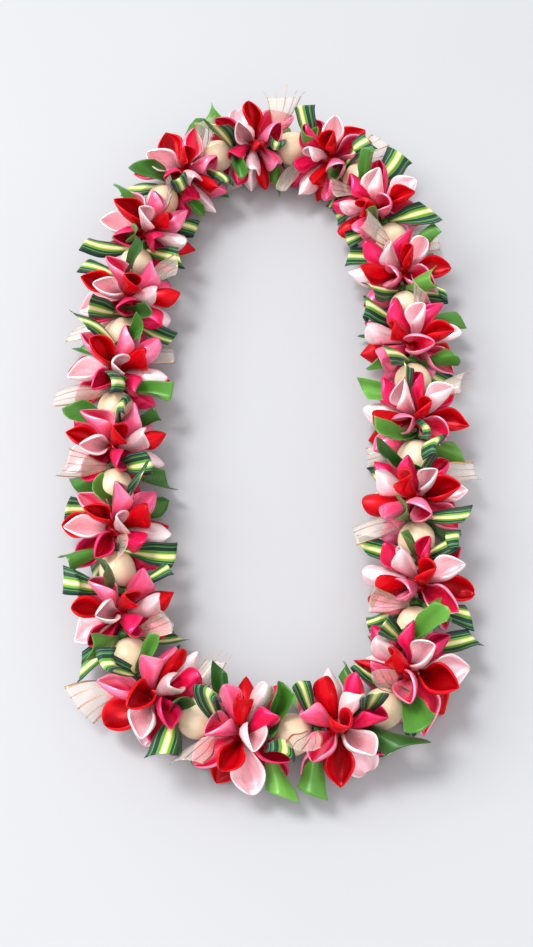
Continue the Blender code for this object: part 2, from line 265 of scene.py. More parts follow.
class Finish:
    # a material and short ways to add and join its nodes
    def __init__(self, name, **constants):
        self.material = bpy.data.materials.new(name)
        self.material.use_nodes = True
        self.nodes, self.links = self.material.node_tree.nodes, self.material.node_tree.links
        self.shader = self.nodes["Principled BSDF"]
        for socket, value in constants.items():
            self.shader.inputs[socket.replace("_", " ")].default_value = value

    def add(self, kind, settings=None, **inputs):
        # an input is called by its name, or by i and its number
        made = self.nodes.new("ShaderNode" + kind)
        for key, value in (settings or {}).items():
            setattr(made, key, value)
        for key, value in inputs.items():
            numbered = key[0] == "i" and key[1:].isdigit()
            self.put(made.inputs[int(key[1:]) if numbered else key], value)
        return made

    def out(self, kind, settings=None, **inputs):
        # a new node's first output
        return self.add(kind, settings, **inputs).outputs[0]

    def put(self, socket, value):
        if isinstance(value, bpy.types.NodeSocket):
            self.links.new(value, socket)
        else:
            socket.default_value = value

    def give(self, name, value):
        # a value or a node's output for one of the shader's own inputs
        self.put(self.shader.inputs[name], value)

    def math(self, operation, a, b=0.0):
        return self.out("Math", {"operation": operation}, i0=a, i1=b)

    def span(self, value, fromLow, fromHigh, low=0.0, high=1.0):
        # a smooth step from low to high while the value goes between the first two
        settings = {"interpolation_type": "SMOOTHSTEP"}
        return self.out("MapRange", settings, i0=value, i1=fromLow, i2=fromHigh, i3=low, i4=high)

    def mix(self, share, a, b):
        return self.add("Mix", {"data_type": "RGBA"}, i0=share, i6=a, i7=b).outputs[2]

    def roughness(self, noise, low, high):
        self.give("Roughness", self.span(noise, 0.3, 0.7, low, high))

    def ribbon(self):
        # how far across and along the ribbon, 0 to 1, and both as a vector
        uv = self.out("UVMap", {"uv_map": "ribbon"})
        across, along, _ = self.add("SeparateXYZ", i0=uv).outputs
        return across, along, uv

    def place(self):
        return self.add("TexCoord").outputs["Object"]

    def attribute(self, name):
        return self.add("Attribute", {"attribute_name": name}).outputs["Fac"]

    def noise(self, coordinates, scale, detail=3.0, stretch=(1, 1, 1)):
        moved = self.out("Mapping", i3=stretch, i0=coordinates)
        return self.out("TexNoise", Vector=moved, Scale=scale, Detail=detail)

    def apart(self, uv):
        # the ribbon's own coordinates, moved by its tone, so that no two ribbons share a pattern
        shift = self.math("MULTIPLY", self.attribute("tone"), 41.0)
        both = self.out("CombineXYZ", i0=shift, i1=shift)
        return self.out("VectorMath", {"operation": "ADD"}, i0=uv, i1=both)

    def relief(self, height, distance, strength, under=None):
        # a height as relief, on top of another relief if one is given
        below = {} if under is None else {"Normal": under}
        return self.out("Bump", Height=height, Distance=distance, Strength=strength, **below)

    def threads(self, uv, across, along, strength):
        # soft folds that differ by ribbon, and on them fine threads: a noise drawn out along it, plus
        # one across it
        folds = self.noise(self.apart(uv), 1.0, weave["foldDetail"], (*weave["folds"], 1))
        soft = self.relief(folds, weave["foldHeight"], weave["foldStrength"])
        warp = self.noise(uv, 1.0, 2.0, (across, along / weave["drawnOut"], 1))
        weft = self.noise(uv, 1.0, 2.0, (across / weave["drawnOut"], along, 1))
        both = self.math("ADD", warp, weft)
        self.give("Normal", self.relief(both, weave["threadHeight"], strength, soft))


weave = {
    "folds": (3.6, 0.9), "foldDetail": 0.2, "foldHeight": 1.8 * mm, "foldStrength": 0.6,
    "drawnOut": 12, "threadHeight": 0.04 * mm,
}

satin = {
    "gloss": (0.23, 0.33),  # roughness where the lustre is strongest and weakest
    "shader": {
        "Specular_IOR_Level": 0.9, "Metallic": 0.35, "Anisotropic": 0.85, "Sheen_Weight": 0.08,
        "Sheen_Roughness": 0.35,
    },
    "threads": (260.0, 420.0), "threadStrength": 0.05,
    "paintedSheenBands": (3.6, 0.8),  # broad bands of painted sheen and painted fold shade: how many across the ribbon and along it
    "paintedSheenShare": 0.45, "dark": 0.35,  # how far the bands go towards the rim's painted highlight and the fold's painted shade
    # shares of the painted rim highlight and of the painted shade towards the core, and how dark that
    # painted shadow is
    "paintedRimLight": 0.6, "paintedCoreShade": 0.6, "deepened": 0.4,
    "colours": {
        # outside, the painted shade inside the fold, the painted highlight along the rim, and the tint of
        # the gloss
        "midPink": ((252, 96, 146), (242, 28, 82), (255, 176, 204), (1.0, 0.62, 0.75, 1.0)),
        "red": ((204, 0, 16), (156, 0, 9), (236, 14, 30), (1.0, 0.22, 0.26, 1.0)),
        "palePink": ((254, 222, 227), (252, 194, 204), (255, 241, 243), (1.0, 0.94, 0.94, 1.0)),
        "hotPink": ((232, 6, 80), (208, 0, 42), (244, 48, 116), (1.0, 0.52, 0.70, 1.0)),
    },
}


def petalSatin(name, outside, inside, rim, tint):
    finish = Finish(name, **satin["shader"], Specular_Tint=tint, Sheen_Tint=tint)
    outside, inside, rim = (linear(*colour) for colour in (outside, inside, rim))
    across, along, uv = finish.ribbon()
    # painted shade fills the inner face between the rims, bands of painted sheen and painted fold shade run
    # across it, a painted highlight lightens the rims, and painted shade darkens it towards the core
    edge = finish.math("ABSOLUTE", finish.math("SUBTRACT", finish.math("MULTIPLY", across, 2.0), 1.0))
    # painted shade on the inner face, strongest along the keel
    paintedFoldShade = finish.math("MULTIPLY", finish.attribute("inside"), finish.span(edge, 0.9, 0.3))
    body = finish.mix(paintedFoldShade, outside, inside)
    paintedSheenBands = finish.noise(finish.apart(uv), 1.0, 0.5, (*satin["paintedSheenBands"], 1))
    # painted sheen: the bands lightened towards the rim colour
    paintedSheenColour = finish.mix(finish.span(paintedSheenBands, 0.5, 0.68, 0.0, satin["paintedSheenShare"]), body, rim)
    # painted fold shade between the sheen bands, towards the inside colour
    folded = finish.mix(finish.span(paintedSheenBands, 0.48, 0.34, 0.0, satin["dark"]), paintedSheenColour, inside)
    # a painted highlight: the rims lightened towards the rim colour
    paintedRimLight = finish.mix(finish.span(edge, 0.45, 1.0, 0.0, satin["paintedRimLight"]), folded, rim)
    shadow = tuple(c * satin["deepened"] for c in inside[:3]) + (1,)
    # painted shade towards the core
    paintedCoreShade = finish.mix(finish.span(along, 0.5, 0.2, 0.0, satin["paintedCoreShade"]), paintedRimLight, shadow)
    blotch = finish.span(finish.noise(finish.place(), 60.0, 1.0), 0.3, 0.7, 0.95, 1.05)
    tone = finish.math("ADD", blotch, finish.math("MULTIPLY", finish.attribute("tone"), 0.06))
    finish.give("Base Color", finish.out("HueSaturation", Color=paintedCoreShade, Value=tone))
    finish.roughness(finish.noise(uv, 1.0, 1.0, (5, 2, 1)), *satin["gloss"])
    finish.threads(uv, *satin["threads"], satin["threadStrength"])
    finish.give("Tangent", finish.out("Tangent", {"direction_type": "UV_MAP", "uv_map": "ribbon"}))
    return finish.material


satins = {name: petalSatin(name + "Satin", *looks) for name, looks in satin["colours"].items()}


leafRibbon = {
    # a painted shaded, a middle and a painted lit green, and the threads of the plain satin
    "green": ((36, 84, 22), (66, 124, 36), (106, 168, 66)), "threads": (240.0, 460.0),
    # place across the ribbon and the colour from there on
    "stripes": [
        (0.0, (6, 44, 37)), (0.05, (104, 160, 120)), (0.065, (5, 48, 38)), (0.14, (52, 116, 56)),
        (0.20, (120, 172, 108)), (0.215, (6, 54, 40)), (0.30, (8, 42, 35)), (0.36, (84, 150, 54)),
        (0.46, (206, 206, 70)), (0.50, (238, 232, 190)), (0.61, (214, 210, 76)), (0.65, (104, 168, 60)),
        (0.73, (13, 68, 42)), (0.80, (132, 180, 110)), (0.815, (10, 70, 42)), (0.90, (5, 40, 35)),
    ],
    "ribs": 480.0, "ribHeight": 0.08 * mm,
    # gauze, copper and gold, the gauze's least and most cover, and each metal line's place across
    # the ribbon and half width
    "sheer": ((232, 222, 214), (196, 134, 96), (232, 206, 160)), "cover": (0.16, 0.40),
    "metalLines": [(0.0, 0.055), (0.25, 0.012), (0.5, 0.02), (0.75, 0.012), (1.0, 0.055)],
    "metalCover": 0.96,
}


def greenSatin():
    finish = Finish(
        "greenSatin", Specular_IOR_Level=0.6, Specular_Tint=(0.8, 1.0, 0.7, 1.0), Anisotropic=0.3,
        Subsurface_Weight=0.4, Subsurface_Scale=1.0 * mm, Subsurface_Radius=(0.6, 1.0, 0.4),
        Sheen_Weight=0.15, Sheen_Roughness=0.4,
    )
    dark, middle, light = (linear(*colour) for colour in leafRibbon["green"])
    uv = finish.ribbon()[2]
    tone = finish.attribute("tone")
    # a random tone by ribbon, partly its own tone and partly painted light: below zero it mixes in the
    # painted shaded green, above 0.2 the painted lit green
    shaded = finish.mix(finish.span(tone, -1.0, 0.0), dark, middle)
    paintedLit = finish.mix(finish.span(tone, 0.2, 1.0, 0.0, 0.9), shaded, light)
    blotch = finish.span(finish.noise(finish.place(), 70.0), 0.3, 0.7, 0.92, 1.06)
    finish.give("Base Color", finish.out("HueSaturation", Color=paintedLit, Value=blotch))
    finish.roughness(finish.noise(uv, 10.0), 0.34, 0.42)
    finish.threads(uv, *leafRibbon["threads"], 0.1)
    return finish.material


def stripedGrosgrain():
    finish = Finish("stripedGrosgrain", Specular_IOR_Level=0.35, Sheen_Weight=0.1)
    across, along, uv = finish.ribbon()
    wander = finish.span(finish.noise(uv, 5.0), 0.2, 0.8, -0.003, 0.003)
    stripes = finish.add("ValToRGB", i0=finish.math("ADD", across, wander))
    ramp = stripes.color_ramp
    ramp.interpolation = "CONSTANT"
    for index, (at, colour) in enumerate(leafRibbon["stripes"]):
        stop = ramp.elements[index] if index < 2 else ramp.elements.new(at)
        stop.position, stop.color = at, linear(*colour)
    ribs = finish.math("SINE", finish.math("MULTIPLY", along, leafRibbon["ribs"]))
    shade = finish.span(ribs, -1.0, 1.0, 0.93, 1.04)
    finish.give("Base Color", finish.out("HueSaturation", Color=stripes.outputs[0], Value=shade))
    finish.roughness(finish.noise(uv, 30.0), 0.42, 0.55)
    finish.give("Normal", finish.relief(ribs, leafRibbon["ribHeight"], 0.35))
    return finish.material


def sheerOrganza():
    finish = Finish("sheerOrganza", Specular_IOR_Level=0.5)
    gauze, copper, gold = (linear(*colour) for colour in leafRibbon["sheer"])
    across, _, uv = finish.ribbon()
    mask = 0.0
    for at, half in leafRibbon["metalLines"]:
        off = finish.math("ABSOLUTE", finish.math("SUBTRACT", across, at))
        mask = finish.math("MAXIMUM", mask, finish.span(off, half, half * 0.6))
    glitter = finish.noise(uv, 1.0, 2.0, (40, 220, 1))
    metal = finish.mix(finish.span(glitter, 0.4, 0.62), copper, gold)
    cover = finish.span(finish.noise(uv, 1.0, 2.0, (300, 18, 1)), 0.25, 0.75, *leafRibbon["cover"])
    lines = finish.math("MULTIPLY", mask, leafRibbon["metalCover"])
    finish.give("Base Color", finish.mix(mask, gauze, metal))
    finish.give("Metallic", finish.math("MULTIPLY", mask, 0.85))
    finish.roughness(glitter, 0.3, 0.5)
    finish.give("Alpha", finish.math("MAXIMUM", lines, cover))
    finish.give("Normal", finish.relief(glitter, 0.1 * mm, 0.4))
    return finish.material


polish = {
    "cream": (234, 216, 186), "tan": (218, 194, 156), "vein": (196, 160, 120), "veined": 0.3,
    "patches": 55.0, "veins": 95.0, "grain": 420.0,  # sizes of the noises, per metre
}


def nutShell():
    finish = Finish("nutShell", Specular_IOR_Level=0.5, Coat_Weight=0.15, Coat_Roughness=0.3)
    place = finish.place()
    broad, grain = (finish.noise(place, polish[name], 4.0) for name in ("patches", "grain"))
    vein = finish.out("TexNoise", Vector=place, Scale=polish["veins"], Detail=4.0, Distortion=0.6)
    cream, tan, dark = (linear(*polish[name]) for name in ("cream", "tan", "vein"))
    body = finish.mix(finish.span(broad, 0.35, 0.68), cream, tan)
    finish.give("Base Color", finish.mix(finish.span(vein, 0.55, 0.75, 0.0, polish["veined"]), body, dark))
    finish.roughness(grain, 0.34, 0.46)
    relief = finish.math("SUBTRACT", grain, finish.math("MULTIPLY", vein, 1.5))
    finish.give("Normal", finish.relief(relief, 0.12 * mm, 0.3))
    return finish.material


def twistedCord():
    finish = Finish("twistedCord", Specular_IOR_Level=0.2, Sheen_Weight=0.3)
    strands = finish.noise(finish.place(), 700.0, 3.0, (1, 1, 3))
    shaded = finish.mix(finish.span(strands, 0.3, 0.7), linear(222, 214, 196), linear(196, 184, 160))
    finish.give("Base Color", shaded)
    finish.roughness(strands, 0.65, 0.8)
    finish.give("Normal", finish.relief(strands, 0.2 * mm, 0.6))
    return finish.material


leafMaterials = {"green": greenSatin(), "striped": stripedGrosgrain(), "sheer": sheerOrganza()}
nutMaterial, cordMaterial = nutShell(), twistedCord()
print("materials made:", len(bpy.data.materials))


redraw = 50000  # how far the seed moves on for each further try

# Nuts: bleached and polished, with the hole that the leaf ribbon runs through
nut = {
    "half": 12.7 * mm, "radius": 12.6 * mm, "hole": 3.55 * mm, "holeRows": (0.6, 0, -0.6),
    "roundness": 0.86, "swell": 0.06, "turn": 0.7, "wave": 0.012, "waves": (3, 260),
    "creaseDepth": 0.035, "creaseWidth": 0.16, "creaseTilt": 0.4, "around": 28, "along": 17,
    "seed": 7000,
}


def nutShellShape(stretch):
    # the radius follows the sine of the angle from the hole, raised to the roundness; it swells
    # twice round the cord, waves a little, and dips along one crease
    draw = random.Random(nut["seed"] + stretch)
    crease, tilt, wave = draw.uniform(0, math.tau), draw.uniform(-1, 1), draw.uniform(0, math.tau)
    first = math.asin((nut["hole"] / nut["radius"]) ** (1 / nut["roundness"]))
    phi = np.linspace(first, math.pi - first, nut["along"])
    outside = np.column_stack([-nut["half"] * np.cos(phi), nut["radius"] * np.sin(phi) ** nut["roundness"]])
    outside[:, 0] *= nut["half"] / abs(outside[0, 0])
    hole = [(nut["half"] * b, nut["hole"]) for b in nut["holeRows"]]

    def dent(angle, at):
        bulk = np.clip(1 - (at / nut["half"]) ** 2, 0, 1)
        swell = nut["swell"] * np.cos(2 * (angle + stretch * nut["turn"]))
        slant = tilt * at / nut["half"] * nut["creaseTilt"]
        off = (angle - crease - slant + math.pi) % math.tau - math.pi
        dip = -nut["creaseDepth"] * np.exp(-(off / nut["creaseWidth"]) ** 2)
        ripple = nut["wave"] * np.sin(nut["waves"][0] * angle + wave) * np.cos(nut["waves"][1] * at)
        return bulk * (swell + dip + ripple)

    return turnedShell(np.vstack([outside, hole]), (stretch + 0.5) * pitch, nut["around"], dent)


def nutTree(stretch):
    # the nut after a stretch's bloom, also before the first bloom, where it is the last nut again
    around = stretch % stretches
    shift = (stretch - around) * pitch
    rows, cols = nut["around"], nut["along"] + len(nut["holeRows"])
    return crossingTree(nutShellShape(around), rows, cols, 0, shift)


for stretch in range(stretches):
    number = f"{stretch + 1:02d}"
    makePiece(f"nut_{number}_shell", [nutShellShape(stretch)], nutMaterial, f"nut_{number}")
print("nuts made:", stretches)


# Petals: four rings of five on each bloom, folded from satin ribbon into cups with a pointed tip
petal = {
    "tilts": [-41.0, -12.0, 12.0, 41.0],  # degrees that each ring leans along the strand
    "reach": 37.5 * mm, "reaches": (0.93, 1.04),
    "width": 20 * mm, "widths": (0.92, 1.06),
    "stray": {"tilt": 3, "turn": 3, "roll": 9},
    "ease": {"tilt": 3, "turn": 3, "roll": 12},  # degrees that the soft ribbon settles either way
    "tipPress": 1.8 * mm, "tip": (1.05, -0.07), "tipDrop": 1.2 * mm,
    # sections from the core to near the tip: share of the reach, of half the width, half angle that
    # the section curls through, crease, height of the keel in mm, wall in mm, filled share
    "sections": [
        (0.17, 0.33, 150, 1.0, -3.0, 0.5, 0.0), (0.32, 0.54, 146, 1.0, -4.4, 0.6, 0.0),
        (0.46, 0.84, 122, 1.0, -4.9, 0.8, 0.0), (0.60, 1.08, 94, 1.0, -4.8, 0.9, 0.0),
        (0.73, 1.04, 78, 0.95, -4.2, 0.9, 0.0), (0.86, 0.62, 72, 0.75, -3.3, 0.8, 0.0),
        (0.945, 0.25, 74, 0.6, -2.4, 0.6, 0.3),
    ],
    "rim": 1.7, "mostBend": 158, "across": (-1, -0.6, -0.2, 0.2, 0.6, 1),
    # a rolled petal stays shut until its mouth, and a blunt one ends round: what each adds by section
    "rolled": (0, 4, 22, 34, 24, 6, 0), "blunt": (0, 0, -0.04, -0.06, -0.02, 0.24, 0.32),
    "rolls": (-0.2, 1.0), "bluntness": 2.4,
    # how far a petal may curl, lean over, twist, bend back and tip to one side
    "curls": (0.88, 1.14), "skew": 0.18, "twist": 20, "twists": (0.2, 1), "twistFrom": 0.3,
    "recurve": 2.2 * mm, "recurves": (0.2, 1.7), "side": 1.5 * mm,
    # waves along the rims, and pleats that fade outwards
    "ripples": (0.2, 1.2), "rippleWaves": (9, 1.3),
    "pleats": (0.15, 0.45), "pleatWaves": 7, "pleatFade": (1.3, -1.5),
    # the petals that face up are crowded: rolled almost shut up to a small mouth, narrower and
    # blunter, and their tips bend over
    "crowd": 1.6, "crowds": (0.5, 1.0), "crowdBlunts": (0.3, 1.1), "crowdRecurves": (-0.6, 1),
    "crowdBend": 158, "crowded": (1, 1, 1, 0.92, 0.66, 0.3, 0), "crowdWidth": 0.12,
    "crowdTwist": 44, "crowdTip": 10 * mm, "crowdReach": 0.1,
    # a petal that cuts through its neighbours is drawn again and gathered tighter, by this much at most
    "tries": 16, "tucked": (0.06, 0.18, 0.36, 0.34, 0.16, 0, 0), "seed": 90000,
    "colours": ["midPink", "red", "palePink", "hotPink"],
    "slots": ["pink_satin", "red_satin", "pale_pink_satin", "hot_pink_satin"],
    "names": ["pink", "red", "pale", "hot"],
}


def petalAxes(angle, tilt, roll):
    # the petal's own directions: along it, across it and out of its fold
    strand, radial = np.array([1.0, 0, 0]), np.array([0, math.cos(angle), math.sin(angle)])
    aroundCord = np.array([0, -math.sin(angle), math.cos(angle)])
    along = strand * math.sin(tilt) + radial * math.cos(tilt)
    flatAcross = strand * math.cos(tilt) - radial * math.sin(tilt)
    c, s = math.cos(roll), math.sin(roll)
    across = flatAcross * c + np.cross(along, flatAcross) * s
    upper = aroundCord * c + np.cross(along, aroundCord) * s
    return along, across, upper


def petalShell(stretch, ring, index, angle, attempt):
    # a trumpet split along one side: each section is a folded ribbon about the petal's axis line, all
    # but closed at the core and open at the mouth; the rims ripple and pleats fade outwards, the axis
    # bends back to the tip, the section turns on the way, and the fold fills up just before the tip
    own = 1000 * stretch + 10 * ring + index
    draw = random.Random(own)
    stray = {name: math.radians(draw.uniform(-most, most)) for name, most in petal["stray"].items()}
    reach = petal["reach"] * draw.uniform(*petal["reaches"])
    half = petal["width"] / 2 * draw.uniform(*petal["widths"])

    look = random.Random(petal["seed"] + own + redraw * attempt)
    within = lambda name: look.uniform(*petal[name])
    crowd = max(0.0, math.sin(angle)) ** petal["crowd"] * within("crowds")
    rolled = within("rolls")
    blunt = max(look.uniform(0, 1) ** petal["bluntness"], crowd * within("crowdBlunts"))
    half *= 1 - petal["crowdWidth"] * crowd
    reach *= 1 - petal["crowdReach"] * crowd
    pleats, pleatPhase = within("pleats") * mm, look.uniform(0, math.tau)
    curl = within("curls")
    most = petal["twist"] + petal["crowdTwist"] * crowd
    twist = math.radians(look.choice((-1, 1)) * within("twists") * most)
    side = look.uniform(-1, 1) * (petal["side"] + petal["crowdTip"] * crowd)
    recurve = petal["recurve"] * within("recurves")
    recurve += petal["crowdTip"] * crowd * within("crowdRecurves")
    ripple, phase = within("ripples") * mm, look.uniform(0, math.tau)
    skew = look.uniform(-petal["skew"], petal["skew"])
    tone = look.uniform(-1, 1)
    for name, most in petal["ease"].items():
        stray[name] += math.radians(look.uniform(-most, most))

    tilt = stray["tilt"] + math.radians(petal["tilts"][ring])
    along, across, upper = petalAxes(angle + stray["turn"], tilt, stray["roll"])
    if along[2] < 0:  # it is pressed on the table, so it ends just below it
        reach = min(reach, (lei["cordHeight"] + petal["tipPress"]) / -along[2])
    share, wide, bend, crease, keel, wall, filled = (
        column[:, None] for column in np.array(petal["sections"], float).T
    )
    v = np.array(petal["across"])[None, :]
    bySection = lambda name: np.array(petal[name])[:, None]
    bend = bend + rolled * bySection("rolled")
    wide = wide + blunt * bySection("blunt")
    wide = wide - attempt / petal["tries"] * bySection("tucked")
    bend = bend + (np.maximum(petal["crowdBend"], bend) - bend) * (crowd * bySection("crowded"))
    bend = np.minimum(np.radians(bend) * curl, math.radians(petal["mostBend"]))
    bend = bend * (1 + skew * np.sign(fine) * fine**2)
    faces = foldSection(v[0], half * wide, bend, crease, keel * mm, wall * mm, petal["rim"])
    waves, lag = petal["rippleWaves"]
    fade = np.clip(petal["pleatFade"][0] + petal["pleatFade"][1] * share, 0, 1)
    spin = twist * (share - petal["twistFrom"])
    layers = []
    for inner, (sideways, height) in enumerate(faces):
        if inner:
            height = height + (height[:, :1] - height) * filled
        height = height + ripple * v**2 * np.sin(share * waves + phase + lag * v)
        height = height + pleats * np.sin(petal["pleatWaves"] * v + pleatPhase) * fade
        sideways, height = (
            sideways * np.cos(spin) - height * np.sin(spin),
            sideways * np.sin(spin) + height * np.cos(spin),
        )
        length = reach * share + sideways * 0
        layers.append(np.stack([length, sideways + side * share**2, height - recurve * share**3], axis=-1))
    tipAlong = reach * (petal["tip"][0] + petal["tip"][1] * blunt)
    tip = np.broadcast_to([tipAlong, side, -recurve - petal["tipDrop"]], (1, v.shape[1], 3))
    local = np.stack([np.concatenate([layer, tip]) for layer in layers])
    rows = local.shape[1]
    uv = np.stack(np.broadcast_arrays((v + 1) / 2, np.append(share, 1.0)[:, None]), axis=-1)
    centre = np.array([stretch * pitch, 0, 0])
    return {
        "points": centre + local.reshape(-1, 3) @ np.array([along, across, upper]),
        "faces": shellFaces(rows, v.shape[1]),
        "uv": np.tile(uv.reshape(-1, 2), (2, 1)),
        "inside": np.repeat([0.0, 1.0], rows * v.shape[1]),
        "tone": tone,
    }


core = {
    "half": 8.4 * mm, "radius": 6.4 * mm, "narrowed": 0.42, "hole": 2.0 * mm,
    "along": 7, "around": 14, "uv": 0.3, "ring": 1,  # it goes with this ring of petals
}


def coreShell(stretch):
    # the wrapped core that the petals are sewn to: a barrel with the cord's hole through it
    bulge = np.linspace(-1, 1, core["along"])
    outside = [(core["half"] * b, core["radius"] * (1 - core["narrowed"] * b**4)) for b in bulge]
    hole = [(core["half"] * b, core["hole"]) for b in (1, 0, -1)]
    shell = turnedShell(outside + hole, stretch * pitch, core["around"])
    shell["uv"] = np.full_like(shell["uv"], core["uv"])  # a place on the ribbon in the painted shade near the core
    return shell


petalGrid = len(petal["sections"]) + 1, len(petal["across"])
petalStart = 2  # the rows before this one are gathered at the core, where petals may meet
petalTrees, secondRound, crossedPetals = [], [], 0
for stretch in range(stretches):
    number, start = f"{stretch + 1:02d}", stretch * lei["turn"]
    trees = [nutTree(stretch - 1), nutTree(stretch)]
    for ring in range(len(petal["tilts"])):
        shells = []
        for i in range(lei["sides"]):
            angle = start + cell * i + cell / 2 * (ring % 2)
            crossed, shell, tree = leastCrossed(
                lambda attempt: petalShell(stretch, ring, i, angle, attempt),
                *petalGrid, petalStart, trees, petal["tries"],
            )
            shells.append(shell)
            trees.append(tree)
            if stretch == 0:  # the last stretch's leaves reach the first bloom again
                secondRound.append(crossingTree(shell, *petalGrid, petalStart, loopLength))
            crossedPetals += crossed > 0
        if ring == core["ring"]:
            shells.append(coreShell(stretch))
        node, name, colour = f"bloom_{number}", petal["names"][ring], petal["colours"][ring]
        makePiece(f"{node}_{name}", shells, satins[colour], node)
    petalTrees.append(trees[2:])
petalCount = stretches * len(petal["tilts"]) * lei["sides"]
print("petals made:", petalCount, "still crossing an earlier one:", crossedPetals)


# Leaves: ribbon ends that fan out of a knot at each end of every nut
leaf = {
    "knots": (14.25 * mm, 45.75 * mm), "knotRadius": 5.0 * mm, "knotHalf": 2.7 * mm,
    "knotRound": 0.18, "knotPleats": (8, 0.07), "knotRows": 5, "knotAround": 32,
    "sleeve": 2.9 * mm, "sleeveGap": 0.1 * mm, "sleeveAround": 12, "hole": 2.0 * mm,
    "paintedShadeTone": -0.6,  # knots and sleeves are darker than the ends: painted shade
    "reach": 38.5 * mm, "lengths": (0.86, 1.07), "start": 4.2 * mm, "lift": 3 * mm,
    "leans": (5.5, 8.0), "extraLeans": (3, 6), "leanUp": 5, "sway": 3, "twists": (14, 34),
    "cut": 9 * mm, "cuts": (0.6, 1.0), "shift": 9.0, "shifts": (1, 0.15, 0),
    "neck": {"distance": 15 * mm, "width": 10.5 * mm, "lean": 0.42, "twist": 0.15},
    # each ribbon's width at its end in mm, slant of the cut, share of the reach, wall in mm, how
    # sharp its middle crease is, and how far an end opens, in degrees
    "ribbons": {
        "green": (16, 1.5, 0.94, 0.45, (0.15, 0.45), (40, 74)),
        "striped": (17, 1.1, 0.98, 0.5, (0.7, 1.3), (18, 55)),
        "sheer": (19, 0.45, 1.05, 0.3, (0.7, 1.3), (18, 55)),
    },
    "gathers": (115, 74), "knotWidth": 2.2 * mm, "straight": 0.62, "flare": 1.04,
    "bow": 2.2, "flicks": (1, 4), "flickUp": 5, "waves": (0.3, 1.1), "waveCount": 7,
    "pressed": 0.4,  # an end that meets the table bows less
    "sunk": 0.3, "sunkCurl": 1.5,  # a curled section is set back, so the strip stays on its line
    # a pointed end: its length, how much shorter its corners are, and where its point is
    "pointedShare": 0.6, "pointed": {"length": 1.03, "corner": 0.26, "power": 1.1, "point": 0.35},
    # a folded end turns back on itself and comes back at a small angle
    "foldedShare": 0.25,
    "folded": {"radius": 1.7 * mm, "turn": 0.92, "length": 1.28, "back": 0.95, "away": 0.32},
    "order": ["green", "striped", "green", "sheer", "striped"],
    # an end that cuts through a petal is drawn again, narrower, leaning less and flicked more
    "tries": 16, "narrowed": 0.35, "leanShare": 1.1, "flickedMore": 0.5,
    "rows": 10, "across": (-1, -0.62, -0.2, 0.2, 0.62, 1), "seeds": (500, 95000),
}


def turnedBack(run, top):
    # past the top the strip bends through a half circle and comes back beside itself: its distance
    # from the cord and how far it stands off
    fold = leaf["folded"]
    past = run - top
    bent = np.clip(past / fold["radius"], 0, math.pi)
    after = np.maximum(past - math.pi * fold["radius"], 0)
    distance = np.minimum(run, top) + fold["radius"] * np.sin(bent) - after * fold["back"]
    return distance, fold["radius"] * (1 - np.cos(bent)) + after * fold["away"]


